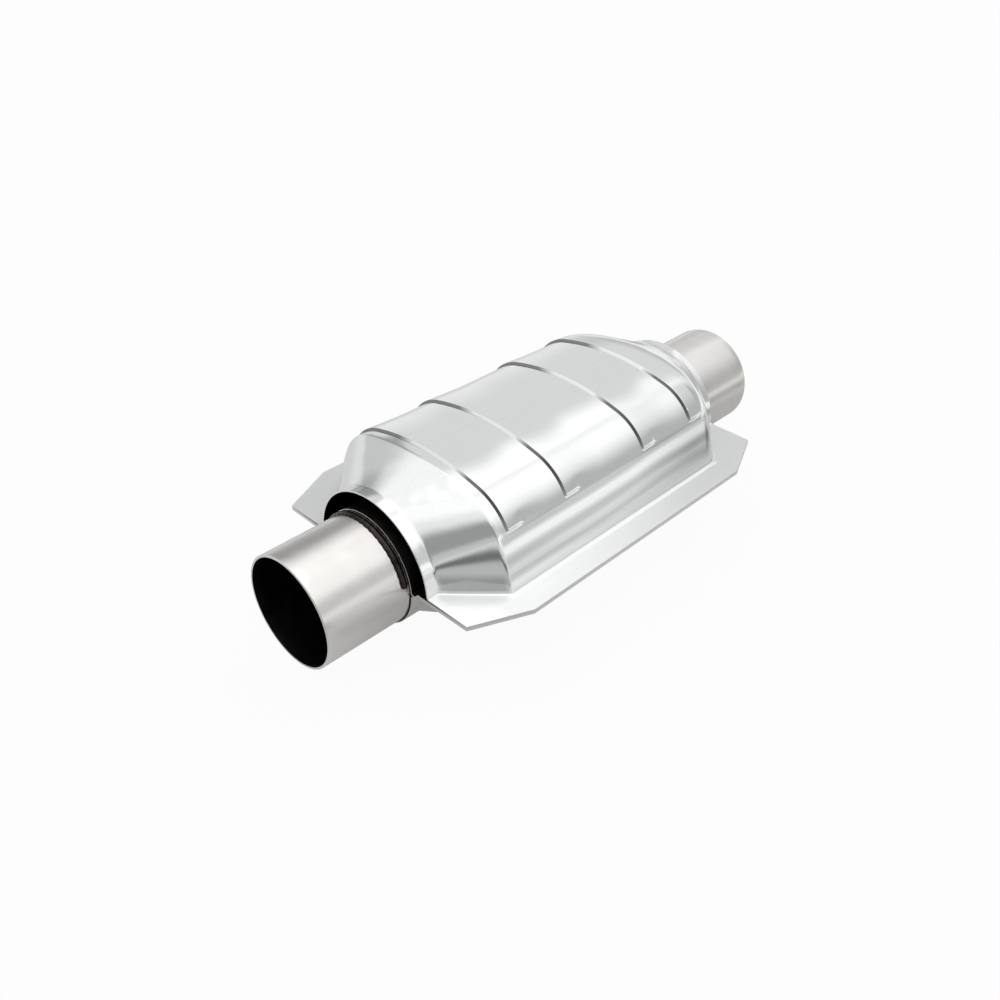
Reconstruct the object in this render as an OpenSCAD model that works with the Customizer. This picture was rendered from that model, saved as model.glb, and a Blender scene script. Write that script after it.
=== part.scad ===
// Catalytic converter, clamshell oval can with a ribbed heat shield over its upper half.
// Millimetres. The origin is the centre of the inlet mouth, +X runs along the exhaust axis to the
// outlet, +Y is across the can and +Z is up, square to the plane where the two can halves meet.

/* [Overall] */
// Length from the inlet mouth to the outlet mouth
total_l = 330; // [310:1:360]

/* [Neck pipes] */
// Inside diameter of both neck pipes, a 2.25 inch slip bore
pipe_bore = 57.2; // [50:0.1:60]
// Wall of the neck pipes
pipe_wall = 1.5; // [1:0.1:2]
// Length of each neck pipe, from its mouth to the end of the collar
pipe_l = 62; // [58:0.5:70]
// Bevel on the outer edge of a mouth
mouth_bevel = 0.3; // [0.1:0.1:0.6]

/* [Can halves] */
// Sheet thickness of the can halves
can_sheet = 1.0; // [0.8:0.1:1.4]
// Half width of the oval can at the parting plane
can_half_w = 58; // [55:0.5:61]
// Height of each can half above or below the parting plane
can_h = 41; // [39:0.5:43]
// Width of the flat land along the middle of each can half
can_flat_w = 28; // [20:1:34]
// Radius of the can's arcs beside the flat land
can_crown_r = 84; // [78:1:100]
// Radius of the can's corner arcs
can_shoulder_r = 32; // [28:0.5:34]
// Radius of the can's side arcs
can_side_r = 50; // [46:0.5:54]
// Fold radius between the can's wall and its flange
can_fold_r = 1.5; // [1:0.1:2.5]
// Where the collars that grip the pipes begin
collar_x = 48.5; // [46:0.5:50]
// Clearance round a pipe inside its collar
collar_gap = 0.15; // [0.1:0.05:0.3]
// Where the collars end and the cones of the can begin
can_cone_x = 62; // [60:0.5:68]
// Where the cones of the can reach the full oval
can_full_x = 94; // [86:0.5:96]
// Rounding of the can between collar, cone and oval, along the axis
can_ease = 3; // [1:0.5:4]

/* [Flange] */
// Where the flange begins
flange_x = 50.8; // [50.5:0.1:56]
// Half width of the flange along its front and rear edge
flange_end_half_w = 66.4; // [60:0.1:70]
// Half width of the flange along its long sides
flange_half_w = 80; // [74:0.5:86]
// Where the flange reaches its full width
flange_full_x = 82; // [76:0.5:90]

/* [Heat shield] */
// Sheet thickness of the heat shield
shield_sheet = 0.8; // [0.6:0.1:1]
// Half width of the shield at its flange
shield_half_w = 65; // [63:0.5:68]
// Height of the shield above the parting plane
shield_h = 50; // [48:0.5:54]
// Radius of the shield's top arc
shield_crown_r = 140; // [120:1:160]
// Radius of the shield's shoulders
shield_shoulder_r = 30; // [26:0.5:34]
// Radius of the shield's sides
shield_side_r = 170; // [150:1:190]
// Lean of the shield's sides at the flange, in degrees
shield_lean = 14; // [11:0.5:17]
// Fold radius between the shield and its flange
shield_fold_r = 1.2; // [0.8:0.1:2]
// Radius of the arched lip round a neck pipe
lip_r = 40; // [38:0.5:42]
// Length of the arched lip
lip_l = 6.5; // [5:0.5:8]
// Where the shield's cones reach the full section
shield_full_x = 82; // [78:0.5:88]
// Rounding where the shield's inlet cone meets its body, along the axis
shield_ease_in = 1; // [0.5:0.1:3]
// Rounding where the shield's outlet cone meets its body, along the axis
shield_ease_out = 4; // [2:0.5:5]

/* [Stiffening beads] */
// Distance of the inner beads from mid length
bead_inner = 30.5; // [27:0.5:34]
// Distance between the shield's cones and its outer beads
bead_margin = 5.75; // [4:0.25:9]
// Width of a bead along the axis
bead_l = 11.5; // [11:0.5:14]
// Height of a bead over the sheet
bead_h = 1.2; // [0.8:0.1:1.6]
// Length of a bead's steep inlet wall
bead_steep = 0.8; // [0.6:0.1:1.5]
// Length over which a bead of the shield falls away towards the outlet
bead_fall = 9; // [3:0.5:9.5]
// Length of both walls of a bead of the can
can_bead_wall = 3; // [2:0.5:4]
// Angle from the top of the shield's side arc up to the ends of its beads
bead_rise = 4; // [2:0.5:10]
// Angle from the top of the can's side arc up to the ends of its beads
can_bead_rise = 8; // [2:0.5:20]
// Depth of the locating groove between the catalyst bricks
groove_h = 3; // [2:0.1:3.4]
// Width of the locating groove
groove_l = 8; // [7:0.5:9]

/* [Catalyst] */
// Distance between the can's cones and the bricks
brick_clear = 1; // [0.5:0.5:4]
// Gap between the two bricks
brick_gap = 10; // [9.5:0.5:13]
// Thickness of the mat between brick and can
mat_t = 4; // [3.8:0.1:5]
// Length of the wire mesh seals at both ends of a mat
seal_l = 4; // [3:0.5:6]
// Clearance between the can, the mats and the bricks
pack_gap = 0.05; // [0.02:0.01:0.1]
// Spacing of the brick's gas channels
cell_pitch = 6; // [5:0.5:9]
// Wall between two gas channels
cell_wall = 1.2; // [0.8:0.1:2]
// Least thickness of the brick's outer skin
brick_skin = 1; // [0.8:0.1:2]
// Width of the slit where a mat's tongue meets its groove
mat_slit = 0.6; // [0.4:0.1:1]
// Offset of the tongue round the brick
mat_tongue = 15; // [10:1:20]

/* [Welds] */
// Width of a weld bead on the pipe
weld_w = 4.4; // [3.5:0.1:5]
// Height of a weld bead over the pipe
weld_h = 1.2; // [0.8:0.1:1.6]
// Gap between a weld bead and the collar's edge
weld_gap = 0.2; // [0.1:0.1:0.5]
// Angle of the upper weld's ends above the parting plane
upper_weld_end = 10; // [6:1:20]
// Angle of the lower weld's ends below the parting plane
lower_weld_end = 55; // [45:1:65]

/* [Hidden] */

$fn = 96;
mid_x = total_l / 2;
pipe_r = pipe_bore / 2 + pipe_wall;
collar_r = pipe_r + collar_gap + can_sheet;

// Columns of a half section in its fold, side, shoulder and crown
shield_steps = [3, 3, 8, 4];
can_steps = [2, 2, 6, 3];
// Facets across a weld bead
weld_steps = 8;
// Angle over which a bead rises from the shoulder at its lower end
bead_end_step = 2.5;
// Length over which the can's flange grows out of the collar's edge
flange_root = 0.5;
// Width of the flat beside the collar, in front of the flange
collar_ear = 2.2;
// Stations closer than this are taken as one
least_step = 0.2;

gas_colour = [0.72, 0.7, 0.68];
shield_colour = [0.86, 0.87, 0.87];
can_colour = [0.62, 0.61, 0.6];
brick_colour = [0.8, 0.74, 0.64];
mat_colour = [0.9, 0.89, 0.85];
seal_colour = [0.5, 0.5, 0.5];
weld_colour = [0.3, 0.27, 0.25];

// Geometry of the sections

function dir(a) = [cos(a), sin(a)];
function angle_of(v) = atan2(v[1], v[0]);

// Point at distances ra from a and rb from b, on the outer side of the line between them
function meet(a, ra, b, rb) =
    let(d = norm(b - a), u = (b - a) / d, along = (d * d + ra * ra - rb * rb) / (2 * d))
    a + along * u + sqrt(ra * ra - along * along) * [u[1], -u[0]];

// Three tangent arcs of a half section as [centre, radius]: side, shoulder, crown.
// The crown arcs of both halves lie flat_w apart, with a flat land between them.
function arch(h, half_w, base_z, lean, flat_w, crown_r, shoulder_r, side_r) =
    let(
        crown = [flat_w / 2, h - crown_r],
        side = [half_w, base_z] - side_r * dir(lean),
        shoulder = meet(crown, crown_r - shoulder_r, side, side_r - shoulder_r)
    )
    [[side, side_r], [shoulder, shoulder_r], [crown, crown_r]];

// Angles at which the side meets the shoulder and the shoulder meets the crown
function side_top(arcs) = angle_of(arcs[1][0] - arcs[0][0]);
function shoulder_top(arcs) = angle_of(arcs[1][0] - arcs[2][0]);

// An arc part of the way from a circle round the pipe axis to its place in the full section
function eased(arc, part, round_r) = [part * arc[0], part * arc[1] + (1 - part) * round_r];

function on_arc(arc, a, out) = arc[0] + (arc[1] + out) * dir(a);

function spread(from, to, steps) = [for (k = [1:steps]) from + (to - from) * k / steps];

// Angles of the crown's columns, short of the middle one. A flat land begins at the last of them,
// and shrinks to half a step where the section is round.
function crown_angles(arcs, steps, part) =
    let(high_a = shoulder_top(arcs), step = (90 - high_a) / steps)
    arcs[2][0][0] > 0
        ? spread(high_a, 90 - (1 - part) * step / 2, steps)
        : spread(high_a, 90 - step, steps - 1);

// Half section of a formed sheet, from the flange edge over fold, side and shoulder to the crown.
// skin is 0 on the outer face and minus the thickness on the inner one. Beads rise from the
// shoulder at bead_rise above its lower end.
function half_section(arcs, steps, part, round_r, top_z, fold_r, flange_w, skin, bead, bead_rise) =
    let(
        side = eased(arcs[0], part, round_r),
        shoulder = eased(arcs[1], part, round_r),
        crown = eased(arcs[2], part, round_r),
        fold_z = top_z + fold_r,
        rise = fold_z - side[0][1],
        reach = side[1] + fold_r,
        foot_a = asin(rise / reach),
        fold = [side[0][0] + reach * cos(foot_a), fold_z],
        bead_a = side_top(arcs) + bead_rise,
        from_bead = bead_a + bead_end_step
    )
    concat(
        [[flange_w, top_z + skin]],
        [for (a = concat([270], spread(270, 180 + foot_a, steps[0])))
            fold + (fold_r - skin) * dir(a)],
        [for (a = spread(foot_a, side_top(arcs), steps[1])) on_arc(side, a, skin)],
        [on_arc(shoulder, bead_a, skin), on_arc(shoulder, from_bead, skin + bead)],
        [for (a = spread(from_bead, shoulder_top(arcs), steps[2])) on_arc(shoulder, a, skin + bead)],
        [for (a = crown_angles(arcs, steps[3], part)) on_arc(crown, a, skin + bead)],
        [[0, crown[0][1] + crown[1] + skin + bead]]
    );

// Whole section at x, from the flange edge on one side to the one on the other
function whole_section(x, half) =
    concat(
        [for (p = half) [x, p[0], p[1]]],
        [for (k = [len(half) - 2:-1:0]) [x, -half[k][0], half[k][1]]]
    );

// Ramp from 0 at x0 to 1 at x1 with both corners rounded over ease to either side
function ramp(x, x0, x1, ease0, ease1) =
    let(run = x1 - x0)
    x <= x0 - ease0 ? 0 :
    x < x0 + ease0 ? (x - x0 + ease0) ^ 2 / (4 * ease0 * run) :
    x <= x1 - ease1 ? (x - x0) / run :
    x < x1 + ease1 ? 1 - (x1 + ease1 - x) ^ 2 / (4 * ease1 * run) :
    1;

// Plain bump from 0 to 1 and back
function bump(x, x0, steep, x1, soft) =
    max(0, min(1, (x - x0) / steep, (x1 - x) / soft));

// Rising numbers without near repeats
function sorted(v) =
    len(v) < 2 ? v :
    let(pivot = v[floor(len(v) / 2)])
    concat(
        sorted([for (q = v) if (q < pivot) q]),
        [pivot],
        sorted([for (q = v) if (q > pivot) q])
    );
function thinned(v) = [for (k = [0:len(v) - 1]) if (k == 0 || v[k] - v[k - 1] > least_step) v[k]];
function mirrored(v) = concat(v, [for (q = v) total_l - q]);
function from_end(x) = min(x, total_l - x);

// Half width of the flange at x, past its chamfered corners
function flange_w_at(x) =
    let(from = from_end(x))
    flange_end_half_w + (flange_half_w - flange_end_half_w)
        * max(0, min(1, (from - flange_x) / (flange_full_x - flange_x)));

// Closed sheet between an outer and an inner grid of points, one row for each station
module formed_sheet(outer, inner) {
    rows = len(outer);
    cols = len(outer[0]);
    points = concat([for (row = outer) each row], [for (row = inner) each row]);
    shift = rows * cols;
    function at(r, c) = r * cols + c;
    outer_faces = [for (r = [0:rows - 2]) for (c = [0:cols - 2])
        each [[at(r, c), at(r, c + 1), at(r + 1, c + 1)], [at(r, c), at(r + 1, c + 1), at(r + 1, c)]]];
    inner_faces = [for (f = outer_faces) [f[2] + shift, f[1] + shift, f[0] + shift]];
    rim = concat(
        [for (c = [0:cols - 2]) at(0, c)],
        [for (r = [0:rows - 2]) at(r, cols - 1)],
        [for (c = [cols - 1:-1:1]) at(rows - 1, c)],
        [for (r = [rows - 1:-1:1]) at(r, 0)]
    );
    edge_faces = [for (k = [0:len(rim) - 1])
        let(a = rim[k], b = rim[(k + 1) % len(rim)])
        each [[a, a + shift, b + shift], [a, b + shift, b]]];
    polyhedron(points = points, faces = concat(outer_faces, inner_faces, edge_faces));
}

// Neck pipes

module neck_pipe() {
    inner = pipe_bore / 2;
    rotate([0, 90, 0])
        rotate_extrude()
            polygon([
                [inner, 0],
                [pipe_r - mouth_bevel, 0],
                [pipe_r, mouth_bevel],
                [pipe_r, pipe_l],
                [inner, pipe_l]
            ]);
}

// Turns a part made at the inlet round to the outlet
module at_outlet() {
    translate([total_l, 0, 0])
        mirror([1, 0, 0])
            children();
}

// Turns a part made above the parting plane to the same place below it
module below() {
    mirror([0, 0, 1])
        children();
}

module inlet_pipe() {
    color(gas_colour) neck_pipe();
}

module outlet_pipe() {
    color(gas_colour) at_outlet() neck_pipe();
}

// Weld beads round the pipes, just in front of the collars

// Run over the top of a pipe that ends at an angle above the parting plane on both sides
module weld_run(end_a) {
    round_r = ((weld_w / 2) ^ 2 + weld_h ^ 2) / (2 * weld_h);
    round_x = pipe_r + weld_h - round_r;
    half_a = asin(weld_w / (2 * round_r));
    weld_x = collar_x - weld_gap - weld_w / 2;
    translate([weld_x, 0, 0])
        rotate([0, 90, 0])
            rotate([0, 0, 90 + end_a])
                rotate_extrude(angle = 180 - 2 * end_a)
                    polygon([for (k = [0:weld_steps])
                        let(a = half_a * (2 * k / weld_steps - 1))
                        [round_x, 0] + round_r * dir(a)]);
}

module inlet_upper_weld() {
    color(weld_colour) weld_run(upper_weld_end);
}

module inlet_lower_weld() {
    color(weld_colour) below() weld_run(lower_weld_end);
}

module outlet_upper_weld() {
    color(weld_colour) at_outlet() weld_run(upper_weld_end);
}

module outlet_lower_weld() {
    color(weld_colour) at_outlet() below() weld_run(lower_weld_end);
}

// Can halves, each with collars, cones, stiffening beads, a locating groove and a flange

can_arcs = arch(can_h, can_half_w, 0, 0, can_flat_w, can_crown_r, can_shoulder_r, can_side_r);

function can_part(x) = ramp(from_end(x), can_cone_x, can_full_x, 1, can_ease);

// Flange half width of the can: none in front of the flange, where the collar stands out alone
function can_flange_w(x) =
    let(grown = max(0, min(1, (from_end(x) - flange_x + flange_root) / flange_root)))
    (1 - grown) * (collar_r + collar_ear) + grown * flange_w_at(x);

function can_bead(x) =
    let(groove_x = mid_x - groove_l / 2)
    bead_h * max([for (side = [-1, 1])
        let(from = mid_x + side * bead_inner - bead_l / 2)
        bump(x, from, can_bead_wall, from + bead_l, can_bead_wall)])
    - groove_h * bump(x, groove_x, groove_l / 4, groove_x + groove_l, groove_l / 4);

can_stations = thinned(sorted(mirrored([
    collar_x, flange_x - flange_root, flange_x, can_cone_x - 1, can_cone_x + 1,
    flange_full_x, can_full_x - can_ease, can_full_x, can_full_x + can_ease,
    mid_x - bead_inner - bead_l / 2, mid_x - bead_inner - bead_l / 2 + can_bead_wall,
    mid_x - bead_inner + bead_l / 2 - can_bead_wall, mid_x - bead_inner + bead_l / 2,
    mid_x - groove_l / 2, mid_x - groove_l / 4
])));

function can_skin(x, skin) =
    whole_section(x, half_section(can_arcs, can_steps, can_part(x), collar_r, can_sheet, can_fold_r,
        can_flange_w(x), skin, can_bead(x), can_bead_rise));

module can_half() {
    formed_sheet(
        [for (x = can_stations) can_skin(x, 0)],
        [for (x = can_stations) can_skin(x, -can_sheet)]
    );
}

module upper_shell() {
    color(can_colour) can_half();
}

module lower_shell() {
    color(can_colour) below() can_half();
}

// Heat shield, one ribbed sheet over the upper half, its flange on the can's flange

shield_top = can_sheet + shield_sheet;
shield_arcs = arch(shield_h, shield_half_w, shield_top, shield_lean,
    0, shield_crown_r, shield_shoulder_r, shield_side_r);
shield_cone_x = flange_x + lip_l;

function shield_part(x) =
    min(
        ramp(x, shield_cone_x, shield_full_x, 1, shield_ease_in),
        ramp(total_l - x, shield_cone_x, shield_full_x, 1, shield_ease_out)
    );

bead_starts = [
    shield_full_x + bead_margin,
    mid_x - bead_inner - bead_l / 2,
    mid_x + bead_inner - bead_l / 2,
    total_l - shield_full_x - bead_margin - bead_l
];

function shield_bead(x) =
    bead_h * max([for (from = bead_starts) bump(x, from, bead_steep, from + bead_l, bead_fall)]);

shield_stations = thinned(sorted(concat(
    mirrored([flange_x, shield_cone_x - 1, shield_cone_x + 1, flange_full_x]),
    [shield_full_x - shield_ease_in, shield_full_x, shield_full_x + shield_ease_in],
    [for (k = [-1, -0.5, 0, 0.5, 1]) total_l - shield_full_x + k * shield_ease_out],
    [for (from = bead_starts)
        each [from, from + bead_steep, from + bead_l - bead_fall, from + bead_l]]
)));

function shield_skin(x, skin) =
    whole_section(x, half_section(shield_arcs, shield_steps, shield_part(x), lip_r, shield_top,
        shield_fold_r, flange_w_at(x), skin, shield_bead(x), bead_rise));

module heat_shield() {
    color(shield_colour)
        formed_sheet(
            [for (x = shield_stations) shield_skin(x, 0)],
            [for (x = shield_stations) shield_skin(x, -shield_sheet)]
        );
}

// Catalyst bricks with their mats and mesh seals, all offsets of the can's own oval

mat_skin = can_sheet + pack_gap;
brick_offset = mat_skin + mat_t + pack_gap;
brick_x = can_full_x + can_ease + brick_clear;
brick_l = mid_x - brick_gap / 2 - brick_x;
brick_starts = [brick_x, mid_x + brick_gap / 2];

// Quarter of the can's oval, taken in by an offset, as [angle, point]
function oval_quarter(inset) =
    let(low_a = side_top(can_arcs), bead_a = low_a + can_bead_rise, high_a = shoulder_top(can_arcs))
    concat(
        [for (a = concat([0], spread(0, low_a, can_steps[1]))) [a, on_arc(can_arcs[0], a, -inset)]],
        [for (a = concat([bead_a], spread(bead_a + bead_end_step, high_a, can_steps[2])))
            [a, on_arc(can_arcs[1], a, -inset)]],
        [for (a = crown_angles(can_arcs, can_steps[3], 1)) [a, on_arc(can_arcs[2], a, -inset)]]
    );

module oval(inset) {
    quarter = [for (q = oval_quarter(inset)) q[1]];
    last = len(quarter) - 1;
    polygon(concat(
        quarter,
        [for (k = [last:-1:0]) [-quarter[k][0], quarter[k][1]]],
        [for (k = [1:last]) [-quarter[k][0], -quarter[k][1]]],
        [for (k = [last:-1:1]) [quarter[k][0], -quarter[k][1]]]
    ));
}

// Sets a flat section across the axis at x and gives it a length
module along_axis(x, l) {
    translate([x, 0, 0])
        rotate([90, 0, 90])
            linear_extrude(height = l)
                children();
}

// True where a point lies at least a skin inside the brick's oval
brick_bounds = [for (q = oval_quarter(brick_offset)) [q[0], q[1] * dir(q[0])]];
function in_brick(y, z) =
    min([for (b = brick_bounds) b[1] - [abs(y), abs(z)] * dir(b[0])]) > brick_skin;

cell_open = cell_pitch - cell_wall;
cells_y = floor(can_half_w / cell_pitch);
cells_z = floor(can_h / cell_pitch);
cells = [for (i = [-cells_y:cells_y]) for (k = [-cells_z:cells_z])
    let(y = i * cell_pitch, z = k * cell_pitch)
    if (in_brick(abs(y) + cell_open / 2, abs(z) + cell_open / 2)) [y, z]];

module brick(x) {
    along_axis(x, brick_l)
        difference() {
            oval(brick_offset);
            for (cell = cells)
                translate(cell)
                    square(cell_open, center = true);
        }
}

module wrap(x, l) {
    along_axis(x, l)
        difference() {
            oval(mat_skin);
            oval(mat_skin + mat_t);
        }
}

// Mat wrapped round a brick, its ends meeting in a tongue and a groove over the brick
module mat(x) {
    from = x + seal_l;
    l = brick_l - 2 * seal_l;
    third = l / 3;
    difference() {
        wrap(from, l);
        translate([from - 1, -mat_slit / 2, can_h / 2])
            cube([third + 1, mat_slit, can_h]);
        translate([from + third - mat_slit / 2, -mat_slit / 2, can_h / 2])
            cube([mat_slit, mat_tongue + mat_slit, can_h]);
        translate([from + third, mat_tongue - mat_slit / 2, can_h / 2])
            cube([third, mat_slit, can_h]);
        translate([from + 2 * third - mat_slit / 2, -mat_slit / 2, can_h / 2])
            cube([mat_slit, mat_tongue + mat_slit, can_h]);
        translate([from + 2 * third, -mat_slit / 2, can_h / 2])
            cube([third + 1, mat_slit, can_h]);
    }
}

module front_brick() {
    color(brick_colour) brick(brick_starts[0]);
}

module rear_brick() {
    color(brick_colour) brick(brick_starts[1]);
}

module front_mat() {
    color(mat_colour) mat(brick_starts[0]);
}

module rear_mat() {
    color(mat_colour) mat(brick_starts[1]);
}

module front_brick_inlet_seal() {
    color(seal_colour) wrap(brick_starts[0], seal_l);
}

module front_brick_outlet_seal() {
    color(seal_colour) wrap(brick_starts[0] + brick_l - seal_l, seal_l);
}

module rear_brick_inlet_seal() {
    color(seal_colour) wrap(brick_starts[1], seal_l);
}

module rear_brick_outlet_seal() {
    color(seal_colour) wrap(brick_starts[1] + brick_l - seal_l, seal_l);
}

inlet_pipe();
outlet_pipe();
upper_shell();
lower_shell();
heat_shield();
front_brick();
rear_brick();
front_mat();
rear_mat();
front_brick_inlet_seal();
front_brick_outlet_seal();
rear_brick_inlet_seal();
rear_brick_outlet_seal();
inlet_upper_weld();
inlet_lower_weld();
outlet_upper_weld();
outlet_lower_weld();
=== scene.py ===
"""Looks of the catalytic converter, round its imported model.

The formed sheets, necks, welds and bricks are fine meshes worked out from the same sizes as the
model's, in millimetres, and every piece gets a procedural finish. X runs from inlet to outlet,
Z is up, and the parting plane of the can halves is z = 0.
"""

import math

import bmesh
import bpy
import numpy as np
from mathutils import Matrix, Vector


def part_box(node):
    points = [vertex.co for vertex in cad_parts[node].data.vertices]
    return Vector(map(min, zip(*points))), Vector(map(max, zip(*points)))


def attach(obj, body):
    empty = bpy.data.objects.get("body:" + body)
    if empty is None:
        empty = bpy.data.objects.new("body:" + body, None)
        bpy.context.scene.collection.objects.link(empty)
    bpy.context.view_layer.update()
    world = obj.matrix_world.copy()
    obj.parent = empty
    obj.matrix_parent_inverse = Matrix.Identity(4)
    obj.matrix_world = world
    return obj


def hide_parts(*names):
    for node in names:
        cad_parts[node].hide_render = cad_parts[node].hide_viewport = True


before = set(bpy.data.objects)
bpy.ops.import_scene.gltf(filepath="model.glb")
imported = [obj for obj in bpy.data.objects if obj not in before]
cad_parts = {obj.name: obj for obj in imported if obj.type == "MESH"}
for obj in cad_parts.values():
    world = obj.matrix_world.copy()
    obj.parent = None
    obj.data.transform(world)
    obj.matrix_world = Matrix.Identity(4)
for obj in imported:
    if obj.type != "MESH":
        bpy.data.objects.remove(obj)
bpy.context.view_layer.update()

MM = 0.001
TOTAL_L = 330
MID_X = TOTAL_L / 2

# Neck pipes. Their bores are near black, painted shade, and the rim of a mouth is as dark as the bore
# over BORE_EDGE from it.
PIPE_IN = 28.6
PIPE_OUT = 30.1
PIPE_L = 62
RIM_ROUND = 0.35
BORE_ROUND = 0.25
BORE_EDGE = 0.35
NECK_END_BEVEL = 0.3
NECK_SEGMENTS = 192

# Collars of the can halves, the flat ears beside their seam, and how far beyond the sheet the rim
# round a pipe counts as the collar's edge
COLLAR_X = 48.5
COLLAR_EAR = 2.2
COLLAR_EDGE = 1.2

# Welds, each beside a collar. They sink a little into the pipe, and their steps, ripples and ends
# are in degrees round it.
WELD_W = 4.7
WELD_H = 1.2
WELD_GAP = 0.2
WELD_X = COLLAR_X - WELD_GAP - WELD_W / 2
WELD_SINK = 0.05
WELD_ROOT = 0.985
WELD_STEP = 0.4
WELD_TIP = 0.02
RIPPLE_TURN = 2.2
RIPPLE_DEPTH = 0.06
UPPER_WELD_END = 10
LOWER_WELD_END = 55

# Flange
FLANGE_X = 50.8
FLANGE_END_W = 66.4
FLANGE_W = 80
FLANGE_FULL_X = 82
FLANGE_ROOT = 0.5
FLANGE_COLUMNS = 3

# Beads. The shield's have a sharp step on the inlet side and fall away towards the outlet, over a
# longer way on top. On the shoulders they run out within a few degrees, in a dash with a painted
# highlight.
BEAD_L = 11.5
BEAD_H = 1.2
BEAD_INNER = 30.5
BEAD_MARGIN = 5.75
BEAD_STEEP = 0.8
BEAD_LEAD = 0.3
BEAD_TAIL = 32
BEAD_BLEND = 14
BEAD_END_STEP = 1.3
BEAD_END_SHARE = 0.85
DASH_L = 10.5
CAN_BEAD_WALL = 3

# Locating groove between the bricks
GROOVE_L = 8
GROOVE_H = 3
GROOVE_WALL = GROOVE_L / 3

# Bricks
BRICK_X = 98
BRICK_L = 62
BRICK_GAP = 10
BRICK_INSET = 5.1
BRICK_SKIN = 0.45
CELL_PITCH = 1.5
CELL_WALL = 0.22
OVAL_STEP = 3

# Forms of the sheets. The cone's ends are eased over a few millimetres, and the crown of a round
# section with a flat land stops some degrees short of the middle.
LAND_TURN = 2
CAN = dict(
    sheet=1.0, top_z=1.0, h=41, half_w=58, base_z=0, lean=0, flat_w=28,
    crown_r=84, shoulder_r=32, side_r=50, fold_r=1.5, round_r=31.25,
    cone=(62, 94), ease=(1, 3), bead_rise=8,
)
SHIELD = dict(
    sheet=0.8, top_z=1.8, h=50, half_w=65, base_z=1.8, lean=14, flat_w=0,
    crown_r=140, shoulder_r=30, side_r=170, fold_r=1.2, round_r=40,
    cone=(57.3, 82), ease=(1, 1), ease_out=(2.5, 7), bead_rise=4,
)


# Sections

def direction(angle):
    a = np.radians(angle)
    return np.stack([np.cos(a), np.sin(a)], -1)


def angle_of(v):
    return math.degrees(math.atan2(v[1], v[0]))


def meet(a, ra, b, rb):
    """Point at distances ra from a and rb from b, on the outer side of the line between them."""
    d = np.linalg.norm(b - a)
    u = (b - a) / d
    along = (d * d + ra * ra - rb * rb) / (2 * d)
    return a + along * u + math.sqrt(ra * ra - along * along) * np.array([u[1], -u[0]])


def arch(form):
    """The three tangent arcs of a half section, as (centre, radius): side, shoulder, crown."""
    crown = np.array([form["flat_w"] / 2, form["h"] - form["crown_r"]])
    side = np.array([form["half_w"], form["base_z"]]) - form["side_r"] * direction(form["lean"])
    shoulder = meet(crown, form["crown_r"] - form["shoulder_r"],
                    side, form["side_r"] - form["shoulder_r"])
    return (side, form["side_r"]), (shoulder, form["shoulder_r"]), (crown, form["crown_r"])


def smooth_step(t):
    t = np.clip(t, 0, 1)
    return t * t * (3 - 2 * t)


def columns(form, steps):
    """The columns of a half section, the same for every station, as (kind, angle or share)."""
    side, shoulder, crown = arch(form)
    low, high = angle_of(shoulder[0] - side[0]), angle_of(shoulder[0] - crown[0])
    bead = low + form["bead_rise"]
    return dict(
        fold=np.linspace(0, 1, steps["fold"]),
        side=np.linspace(0, 1, steps["side"] + 1)[1:],
        shoulder=np.concatenate([
            np.linspace(low, bead, steps["rise"] + 1)[1:],
            np.linspace(bead, bead + BEAD_END_STEP, steps["end"] + 1)[1:],
            np.linspace(bead + BEAD_END_STEP, high, steps["shoulder"] + 1)[1:],
        ]),
        crown=np.linspace(0, 1, steps["crown"] + 1)[1:],
        low=low, high=high, bead=bead, arcs=(side, shoulder, crown),
    )


def half_section(form, cols, part, flange_w, skin, bead):
    """Half section from the flange's edge over fold, side and shoulder to the middle, as (y, z)."""
    (side_c, side_r), (shoulder_c, shoulder_r), (crown_c, crown_r) = (
        (part * c, part * r + (1 - part) * form["round_r"]) for c, r in cols["arcs"])
    fold_z = form["top_z"] + form["fold_r"]
    reach = side_r + form["fold_r"]
    foot = math.degrees(math.asin((fold_z - side_c[1]) / reach))
    fold_c = np.array([side_c[0] + reach * math.cos(math.radians(foot)), fold_z])
    fold_a = 270 + (foot - 90) * cols["fold"]
    side_a = foot + (cols["low"] - foot) * cols["side"]
    at_end, on_top = bead
    past_end = cols["shoulder"] - cols["bead"]
    full = at_end + (on_top - at_end) * smooth_step((past_end - BEAD_END_STEP) / BEAD_BLEND)
    lift = full * smooth_step(past_end / BEAD_END_STEP)
    flat = form["flat_w"] > 0
    top_a = 90 - (1 - part) * LAND_TURN if flat else 90
    crown_a = cols["high"] + (top_a - cols["high"]) * cols["crown"]
    if not flat:
        crown_a = crown_a[:-1]
    edge_y = np.linspace(flange_w, fold_c[0], FLANGE_COLUMNS + 1)[:-1]
    return np.concatenate([
        np.stack([edge_y, np.full(FLANGE_COLUMNS, form["top_z"] + skin)], -1),
        fold_c + (form["fold_r"] - skin) * direction(fold_a),
        side_c + (side_r + skin) * direction(side_a),
        shoulder_c + (shoulder_r + skin + lift)[:, None] * direction(cols["shoulder"]),
        crown_c + (crown_r + skin + on_top) * direction(crown_a),
        [[0, crown_c[1] + crown_r + skin + on_top]],
    ])


def ramp(x, x0, x1, ease0, ease1):
    """Ramp from 0 at x0 to 1 at x1 with both corners rounded over ease to either side."""
    run = x1 - x0
    if x <= x0 - ease0:
        return 0
    if x < x0 + ease0:
        return (x - x0 + ease0) ** 2 / (4 * ease0 * run)
    if x <= x1 - ease1:
        return (x - x0) / run
    if x < x1 + ease1:
        return 1 - (x1 + ease1 - x) ** 2 / (4 * ease1 * run)
    return 1


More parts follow.
